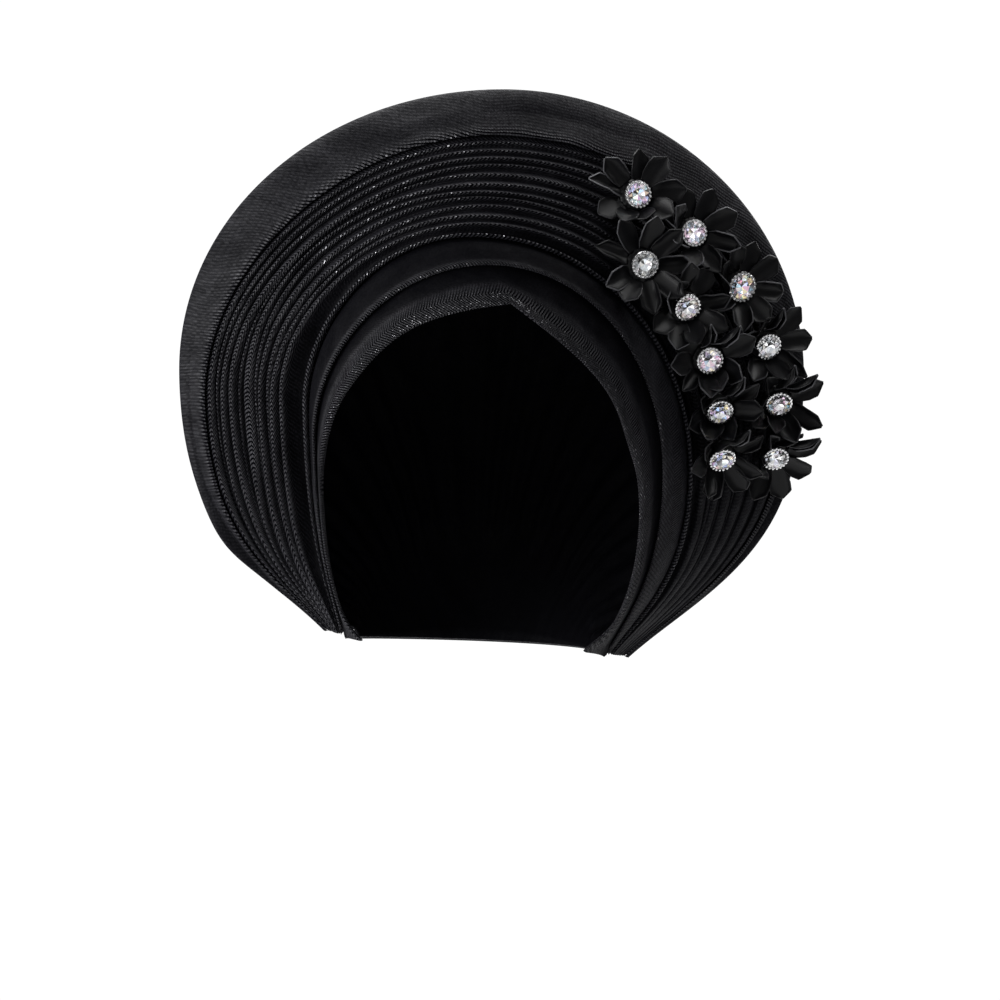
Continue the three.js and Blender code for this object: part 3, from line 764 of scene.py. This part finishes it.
def crown_wall(run, outer, inner, share):
    """Rings of a wall on the crown's course, between two depths that have a row for each station, with the
    share of glitter on the outside. The inside is plain and dark: the back of the cloth, and painted shade in
    the hollow of the crown."""
    across = np.concatenate([run, run[::-1]])
    depth = np.concatenate([outer, inner[:, ::-1]], 1)
    return with_share(crown_places(across, depth, FINE), np.concatenate([share, 0 * run - 1]))


def back_crown():
    run = np.linspace(0, 1, 70)
    phase = TAU * CROWN_FOLDS * FINE / ENDS + 1.5 * wobble(FINE, 5)
    size = CROWN_FOLD_DEPTH * smoothstep(run, 0.3, 0.62) * (1 - smoothstep(run, 0.8, 0.9))
    folds = size * (np.sin(phase)[:, None] * 0.6 - 0.4 + 0.3 * np.sin(0.37 * phase[:, None] + 5 * run))
    rings = crown_wall(run, folds, folds - CROWN["wall"], -0.6 * smoothstep(run, 0.35, 0.75))
    return cloth_piece("back_crown_cloth", rings, CLOTH)


def nape_band():
    run = np.linspace(NAPE_BAND["from"], 1, 22)
    share = (run - run[0]) / (run[-1] - run[0])
    rolls = np.abs(np.sin(math.pi * NAPE_BAND["folds"] * share)) ** 0.6
    outer = NAPE_BAND["gap"] + NAPE_BAND["wall"] * (0.55 + 0.45 * rolls) + 0 * FINE[:, None]
    inner = NAPE_BAND["gap"] + 0 * outer
    return cloth_piece("nape_band_cloth", rounded(crown_wall(run, outer, inner, 0 * run), 1), CLOTH)


# Each cloth piece is named after its node: flat size in metres, flat area where the cut isn't a rectangle,
# how it is held and what it lies on
CLOTH_PIECES = (
    (forehead_band, (0.024, 0.36), None, "folded", ["inner_fold_cloth"]),
    (inner_fold, (0.026, 0.4), None, "folded", ["forehead_band_cloth", "pleated_fan_cloth"]),
    (pleated_fan, (0.085, 0.48), None, "folded", ["inner_fold_cloth"]),
    (halo, (0.032, 0.61), None, "folded", ["pleated_fan_cloth", "back_crown_cloth"]),
    (back_crown, (0.24, 0.6), 0.085, "gathered", ["halo_cloth"]),
    (nape_band, (0.024, 0.16), None, "stretched", ["back_crown_cloth"]),
)
for make, flat, area, held, rests_on in CLOTH_PIECES:
    piece = make()
    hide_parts(make.__name__)


# Flowers

def node_points(name):
    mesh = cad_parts[name].data
    found = np.empty(len(mesh.vertices) * 3)
    mesh.vertices.foreach_get("co", found)
    return np.unique(np.round(found.reshape(-1, 3) / MM, 4), axis=0)


def turn_about(axis, degrees):
    """A rotation matrix about the x or z axis, for points in rows."""
    c, s = math.cos(math.radians(degrees)), math.sin(math.radians(degrees))
    if axis == "x":
        return np.array([[1, 0, 0], [0, c, s], [0, -s, c]])
    return np.array([[c, s, 0], [-s, c, 0], [0, 0, 1]])


def looking(yaw, pitch, spin):
    """Rows side, up and axis of a frame that looks to the right and up by these degrees."""
    a, b = math.radians(yaw), math.radians(pitch)
    axis = np.array([math.sin(a) * math.cos(b), -math.cos(a) * math.cos(b), math.sin(b)])
    side = unit(np.cross((0, 0, 1), axis))
    return turn_about("z", spin) @ np.array([side, np.cross(axis, side), axis])


def flower_frame(number):
    """A flower's frame, turned with its petals, the solid's seat and the shift from it."""
    rows = looking(*FLOWER_LOOKS[number])
    axis = rows[2]
    stone = node_points(f"stone_{number + 1:02d}")
    heights = stone @ axis
    base = stone.mean(axis=0) + axis * (heights.min() - heights.mean())
    right, above = FLOWER_SHIFTS[number]
    shift = np.array([right, -(right * axis[0] + above * axis[2]) / axis[1], above])
    return rows, base - STONE_SEAT * axis, shift


PETAL_PIVOT = np.array([0, 0, PETAL["knee_height"] - 0.5])
# A petal's tip on the solid lies this far from the knee, within the tolerance. Where none is found, the petal
# gets the usual pitch.
SOLID_REACH, TIP_TOLERANCE, USUAL_PITCH = 13, 0.5, 30.0


def petal_pitches(number, rows, solid_seat):
    """The pitch of each petal of the solid flower, from the place of its tip."""
    local = (node_points(f"flower_{number + 1:02d}") - solid_seat) @ rows.T
    pitches = []
    for petal in range(PETALS):
        own = local @ turn_about("z", -petal * PETAL_TURN)
        own = (own - PETAL_PIVOT) @ turn_about("x", -PETAL["twist"]) + PETAL_PIVOT
        reach = own - (PETAL["knee"], 0, PETAL["knee_height"])
        off = np.abs(np.hypot(reach[:, 0], reach[:, 2]) - SOLID_REACH) + np.abs(reach[:, 1])
        tip = reach[off.argmin()]
        found = off.min() < TIP_TOLERANCE
        pitches.append(math.degrees(math.atan2(tip[2], tip[0])) if found else USUAL_PITCH)
    return pitches


# Petals that stand up and catch the light, by flower and petal
UPRIGHT = ((1, 6), (3, 5), (5, 6), (7, 8))
# Petals that are rolled nearly shut
ROLLED = ((5, 2), (6, 1), (6, 2), (7, 1), (7, 2), (8, 2), (9, 1), (10, 1))
# A petal that lies flat beside its stone
FLAT = ((6, 3),)
UPRIGHT_PITCH, ROLLED_PITCH, FLAT_PITCH = 46, 38, 12
# Half the angle of a petal's cross arc, in radians: flat, rolled nearly shut, and the common ones with their
# shares. The lower flowers are rolled more.
FLAT_ROLL, ROLLED_ROLL = 0.45, 2.5
ROLLS, ROLL_SHARES, LOW_ROLL = (0.45, 0.65, 1.0, 1.4), (0.4, 0.3, 0.18, 0.12), 0.35
# Flowers whose right-hand petals lie flatter, by how many degrees, and those that reach past the rim, by what
# share of a petal
FLAT_RIGHT, FLATTER = (2, 3, 4, 5, 7, 9), 18
PAST_RIM, REACH_PAST = (5, 7, 9), 0.2
# The pale edges are dimmer on the lower flowers: a painted shade.
LOW_FLOWER_EDGE_SHADE = 0.65
# Ranges of each petal's own curl, lift and twist in degrees, its size and how pale its melted edge is, which
# also paints a highlight on the edges that catch the light
CURLS, LIFTS, TWISTS, SIZES, SEALS_AND_HIGHLIGHTS = (-14, 22), (0, 5), (-6, 8), (0.94, 1.12), (0.5, 1)
# Degrees by which a few petals are wrung one way or the other
WRUNG, WRUNG_SHARES = (0, 22, -22), (0.7, 0.15, 0.15)
# Half width of a petal along it, as a share of the widest, and how much thicker its melted edge is
PETAL_OUTLINE = ((0, 0.25, 0.5, 0.76, 1), (0.5, 0.84, 1, 0.95, 0.06))
PETAL_BEAD = 0.5
# Rows and columns of points on each petal
PETAL_ROWS, PETAL_COLUMNS = 17, 17


def petal_surface(pitch, curl, roll, size):
    """The face of a petal along +x: row, column, xyz. roll is half the angle of its cross arc, in radians."""
    share = np.linspace(0, 1, PETAL_ROWS)
    side = np.linspace(-1, 1, PETAL_COLUMNS)
    half = np.interp(share, *PETAL_OUTLINE) * PETAL["half_width"]
    angle = np.radians(pitch + curl * (share - 0.35))
    length = size * PETAL["length"]
    step = length / (PETAL_ROWS - 1)
    x = PETAL["knee"] + running(np.cos(angle[1:]), 0) * step
    z = PETAL["knee_height"] + running(np.sin(angle[1:]), 0) * step
    bend = roll * smoothstep(share, -0.2, 0.5)
    radius = half / bend
    y = radius[:, None] * np.sin(bend[:, None] * side)
    rise = radius[:, None] * (1 - np.cos(bend[:, None] * side))
    angle = angle[:, None]
    face = np.stack([x[:, None] - rise * np.sin(angle), y, z[:, None] + rise * np.cos(angle)], -1)
    return face, half[:, None] * side, share * length


def grid_normals(surface):
    along, across = np.gradient(surface, axis=0), np.gradient(surface, axis=1)
    return unit(np.cross(along, across))


def petal_mesh(pitch, curl, roll, size, sealed_and_highlight):
    """Points, faces and ribbon coordinates of one closed petal. The last argument is how pale its melted edge
    is: a real edge and a painted highlight.
    """
    top, across, along = petal_surface(pitch, curl, roll, size)
    bead = np.zeros(PETAL_COLUMNS)
    bead[[0, -1]] = PETAL_BEAD
    normal = grid_normals(top)
    wall = PETAL["wall"] * (1 + bead)[None, :, None]
    below = top - normal * wall
    top = top + normal * (0.3 * bead)[None, :, None]
    points = np.concatenate([top.reshape(-1, 3), below.reshape(-1, 3)])
    seal_and_highlight = np.zeros((PETAL_ROWS, PETAL_COLUMNS))
    seal_and_highlight[:, [0, -1]] = sealed_and_highlight
    seal_and_highlight[-1] = sealed_and_highlight
    ribbon = np.stack([across, np.broadcast_to(along[:, None], across.shape), seal_and_highlight], -1).reshape(-1, 3)
    ribbon = np.concatenate([ribbon, ribbon])
    index = np.arange(PETAL_ROWS * PETAL_COLUMNS).reshape(PETAL_ROWS, PETAL_COLUMNS)
    a, b, c, d = index[:-1, :-1], index[1:, :-1], index[1:, 1:], index[:-1, 1:]
    upper = np.stack([a, b, c, d], -1).reshape(-1, 4)
    lower = upper[:, ::-1] + index.size
    edge = np.concatenate([index[0], index[1:, -1], index[-1, -2::-1], index[-2:0:-1, 0]])
    after = np.roll(edge, -1)
    rim = np.stack([edge, after, after + index.size, edge + index.size], -1)
    return points, np.concatenate([upper, lower, rim]), ribbon


# The gathered ribbon under a flower: radius and height of its outline, points round it, depth of its ridges
BUTTON = ((0.05, 0.2), (7.0, 0.2), (7.4, 0.9), (7.0, 1.9), (5.4, 2.5), (3.0, 2.6), (0.05, 2.6))
BUTTON_ROUND = 72
BUTTON_RIDGE = 0.035


def button_mesh():
    """Points, faces and ribbon coordinates of a ridged dome."""
    angle = np.arange(BUTTON_ROUND) * TAU / BUTTON_ROUND
    ridge = 1 - BUTTON_RIDGE * np.cos(angle * PETALS * 2)
    rings = []
    for radius, height in BUTTON:
        x, y = radius * ridge * np.cos(angle), radius * ridge * np.sin(angle)
        rings.append(np.stack([x, y, 0 * angle + height], -1))
    points = np.concatenate(rings)
    index = np.arange(len(points)).reshape(len(BUTTON), BUTTON_ROUND)
    after = np.roll(index, -1, axis=1)
    quads = np.stack([index[:-1], after[:-1], after[1:], index[1:]], -1).reshape(-1, 4)
    faces = quads.tolist() + [index[0][::-1].tolist(), index[-1].tolist()]
    reach = np.hypot(points[:, 0], points[:, 1])
    return points, faces, np.stack([np.tile(angle, len(BUTTON)) * 8, reach, 0 * reach], -1)


def flower(number):
    rows, solid_seat, shift = flower_frame(number)
    draw = np.random.default_rng(300 + number)
    points, faces, ribbon, offset = [], [], [], 0

    def add(local, new_faces, coordinates):
        nonlocal offset
        points.append(local @ rows + solid_seat + shift)
        faces.extend((np.asarray(face) + offset).tolist() for face in new_faces)
        ribbon.append(coordinates)
        offset += len(local)

    low = number / (len(FLOWER_LOOKS) - 1)
    for petal, pitch in enumerate(petal_pitches(number, rows, solid_seat)):
        place = (number, petal)
        curl = draw.uniform(*CURLS)
        roll = draw.choice(ROLLS, p=ROLL_SHARES) + LOW_ROLL * low
        pitch = UPRIGHT_PITCH if place in UPRIGHT else pitch + draw.uniform(*LIFTS)
        to_right = max(0, math.cos(math.radians(FLOWER_LOOKS[number][2] + petal * PETAL_TURN)))
        pitch -= FLATTER * to_right * (number in FLAT_RIGHT)
        # How pale the edges are: a real edge and a painted highlight, dimmer on the lower flowers as painted
        # shade.
        sealed_and_highlight = draw.uniform(*SEALS_AND_HIGHLIGHTS) * mix(1, LOW_FLOWER_EDGE_SHADE, low)
        size = draw.uniform(*SIZES) * (1 + REACH_PAST * to_right * (number in PAST_RIM))
        twist = PETAL["twist"] + draw.uniform(*TWISTS) + draw.choice(WRUNG, p=WRUNG_SHARES)
        if place in ROLLED:
            pitch, curl, roll, sealed_and_highlight = ROLLED_PITCH, 0, ROLLED_ROLL, 1
        if place in FLAT:
            pitch, curl, roll, twist = FLAT_PITCH, 0, FLAT_ROLL, 0
        local, new_faces, coordinates = petal_mesh(pitch, curl, roll, size, sealed_and_highlight)
        local = (local - PETAL_PIVOT) @ turn_about("x", twist) + PETAL_PIVOT
        add(local @ turn_about("z", petal * PETAL_TURN), new_faces, coordinates)
    add(*button_mesh())
    points, ribbon = np.concatenate(points), np.concatenate(ribbon)
    corners = np.concatenate([ribbon[face] for face in faces])
    piece = new_piece(f"flower_{number + 1:02d}_ribbon", points, faces, corners, "ribbon", SATIN)
    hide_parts(f"flower_{number + 1:02d}")


# Stones: glass in front of a foil mirror, in a ring of small stones

# Radius and height of each ring of corners, in millimetres
GIRDLE, CROWN_FACETS, PAVILION = (4.85, 2.1), (3.3, 2.85), (2.7, 1.0)
STONE_TOP, CULET = 3.6, 0.35
STONE_SIDES = 8
SETTING = ((4.3, 0.15), (4.9, 2.0), (5.0, 1.7), (5.75, 1.45), (5.95, 1.0), (5.2, 0.3), (4.6, 0.02))
SETTING_ROUND = 40
SMALL_STONES, SMALL_STONE_RING = 20, (5.4, 1.35)
SMALL_STONE_FOOT, SMALL_STONE_TOP = (0.74, 0), (0.46, 0.7)
# A tilted setting is raised so that its foot stays out of the ribbon, apart from a little.
STONE_FOOT, STONE_SINK = 4.6, 0.4


def ring_points(radius, height, count, start=0.0):
    angle = (np.arange(count) + start) * TAU / count
    return np.stack([radius * np.cos(angle), radius * np.sin(angle), np.full(count, float(height))], -1)


class FacetMesh:
    """Flat faces, each with its own corners, material and tint."""

    def __init__(self, seed):
        self.points, self.faces, self.materials, self.tints = [], [], [], []
        self.draw = np.random.default_rng(seed)

    def face(self, corners, material):
        start = len(self.points)
        self.points.extend(corners)
        self.faces.append(list(range(start, start + len(corners))))
        self.materials.append(material)
        self.tints.append(self.draw.random())

    def strip(self, low, high, material):
        """Triangles between a ring and a ring that is turned by half a step."""
        count = len(low)
        for i in range(count):
            j = (i + 1) % count
            self.face([low[i], low[j], high[i]], material)
            self.face([low[j], high[j], high[i]], material)


GLASS, FOIL, SILVER = 0, 1, 2


def stone_facets(number):
    mesh = FacetMesh(500 + number)
    girdle = ring_points(*GIRDLE, 2 * STONE_SIDES)
    crown = ring_points(*CROWN_FACETS, STONE_SIDES, 0.5)
    below = ring_points(*PAVILION, STONE_SIDES, 0.5)
    top, culet = np.array([0, 0, STONE_TOP]), np.array([0, 0, CULET])
    for i in range(STONE_SIDES):
        j = (i + 1) % STONE_SIDES
        a, b, c = girdle[2 * i], girdle[2 * i + 1], girdle[2 * j]
        front = (top, crown[i], crown[j]), (crown[i], c, crown[j]), (crown[i], a, b), (crown[i], b, c)
        back = (a, below[i], b), (b, below[i], c), (c, below[i], below[j]), (below[i], culet, below[j])
        for corners in front:
            mesh.face(corners, GLASS)
        for corners in back:
            mesh.face(corners, FOIL)
    rings = [ring_points(radius, height, SETTING_ROUND) for radius, height in SETTING]
    for upper, lower in zip(rings, rings[1:]):
        for i in range(SETTING_ROUND):
            j = (i + 1) % SETTING_ROUND
            mesh.face([upper[i], lower[i], lower[j], upper[j]], SILVER)
    mesh.face(list(rings[0]), SILVER)
    mesh.face(list(rings[-1])[::-1], SILVER)
    for centre in ring_points(*SMALL_STONE_RING, SMALL_STONES):
        low = ring_points(*SMALL_STONE_FOOT, STONE_SIDES) + centre
        high = ring_points(*SMALL_STONE_TOP, STONE_SIDES, 0.5) + centre
        mesh.strip(low, high, SILVER)
        mesh.face(list(high), SILVER)
        mesh.face(list(low)[::-1], SILVER)
    return mesh


def stone(number):
    rows, solid_seat, shift = flower_frame(number)
    name = f"stone_{number + 1:02d}"
    facets = stone_facets(number)
    tilted = looking(*STONE_LOOKS[number], FLOWER_LOOKS[number][2])
    tilt = math.acos(rows[2] @ tilted[2])
    raised = STONE_SEAT + max(0, STONE_FOOT * math.sin(tilt) - STONE_SINK)
    points = STONE_SIZES[number] * np.array(facets.points) @ tilted + rows[2] * raised + solid_seat + shift
    tints = np.repeat(np.array(facets.tints), [len(face) for face in facets.faces])
    corners = np.stack([tints, 0 * tints + STONE_GREYS[number], 0 * tints], -1)
    piece = new_piece(name + "_crystal", points, facets.faces, corners, "facet", STONE_MATERIALS[GLASS])
    piece.data.materials.append(STONE_MATERIALS[FOIL])
    piece.data.materials.append(STONE_MATERIALS[SILVER])
    piece.data.polygons.foreach_set("material_index", facets.materials)
    piece.data.shade_flat()
    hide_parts(name)


for number in range(len(FLOWER_LOOKS)):
    flower(number)
    stone(number)


# Camera, light and floor

CAMERA_PLACE = (0.00657, -1.6, -0.00876)
LENS, SENSOR = 131.4, 36.0
PART_MIDDLE = (0, 0, 0.04)
# Lights: place and size in metres, and power
SOFTBOXES = {
    "top_light": ((-0.5, 0.4, 1.6), 1.6, 42),
    "left_light": ((-1.7, -0.5, -0.05), 1.6, 68),
    "left_card": ((-1.1, -1.7, 0.4), 1.6, 10),
    "right_card": ((0.95, -1.55, 0.15), 0.9, 1),
    "right_light": ((1.0, -0.1, 1.45), 1.4, 24),
    "back_light": ((0.3, 1.8, 0.9), 1.2, 18),
}
FLOOR_RADIUS, FLOOR_HEIGHT = 700, -340
WHITE = (1, 1, 1, 1)


def camera():
    data = bpy.data.cameras.new("camera")
    data.sensor_fit = "HORIZONTAL"
    data.sensor_width = SENSOR
    data.lens = LENS
    data.clip_end = 50.0
    made = new_object("camera", data)
    made.location = CAMERA_PLACE
    made.rotation_euler = (math.pi / 2, 0, 0)
    bpy.context.scene.camera = made


def softbox(name, place, size, power):
    """A square light that looks at the part's middle."""
    data = bpy.data.lights.new(name, "AREA")
    data.size = size
    data.energy = power
    made = new_object(name, data)
    made.location = place
    aim = -np.array(place) + PART_MIDDLE
    yaw = math.atan2(aim[1], aim[0]) - math.pi / 2
    made.rotation_euler = (math.pi / 2 + math.atan2(aim[2], math.hypot(aim[0], aim[1])), 0, yaw)


def floor():
    around = ring_points(FLOOR_RADIUS, FLOOR_HEIGHT, 96) * MM
    mesh = bpy.data.meshes.new("floor")
    mesh.from_pydata(around, [], [list(range(len(around)))])
    material, tree, shader = new_material("floor_white")
    through_stones = node(tree, "ShaderNodeLightPath", {}).outputs["Is Transmission Ray"]
    set_shader(
        tree, shader, Base_Color=(0.55, 0.55, 0.55, 1), Roughness=0.9, Specular_IOR_Level=0.0,
        Emission_Color=WHITE, Emission_Strength=spread(tree, through_stones, 0.15, 0.65),
    )
    mesh.materials.append(material)
    made = new_object("floor", mesh)


def studio():
    world = bpy.data.worlds.new("studio")
    bpy.context.scene.world = world
    world.use_nodes = True
    tree = world.node_tree
    path = node(tree, "ShaderNodeLightPath", {})
    seen = spread(tree, path.outputs["Is Camera Ray"], 0.2, 1.05)
    strength = maths(tree, "MULTIPLY_ADD", path.outputs["Is Transmission Ray"], 0.65, seen)
    background = tree.nodes["Background"]
    feed(tree, background.inputs["Color"], WHITE)
    feed(tree, background.inputs["Strength"], strength)
    for name, (place, size, power) in SOFTBOXES.items():
        softbox(name, place, size, power)
    bpy.context.scene.view_settings.view_transform = "Standard"


camera()
studio()
floor()
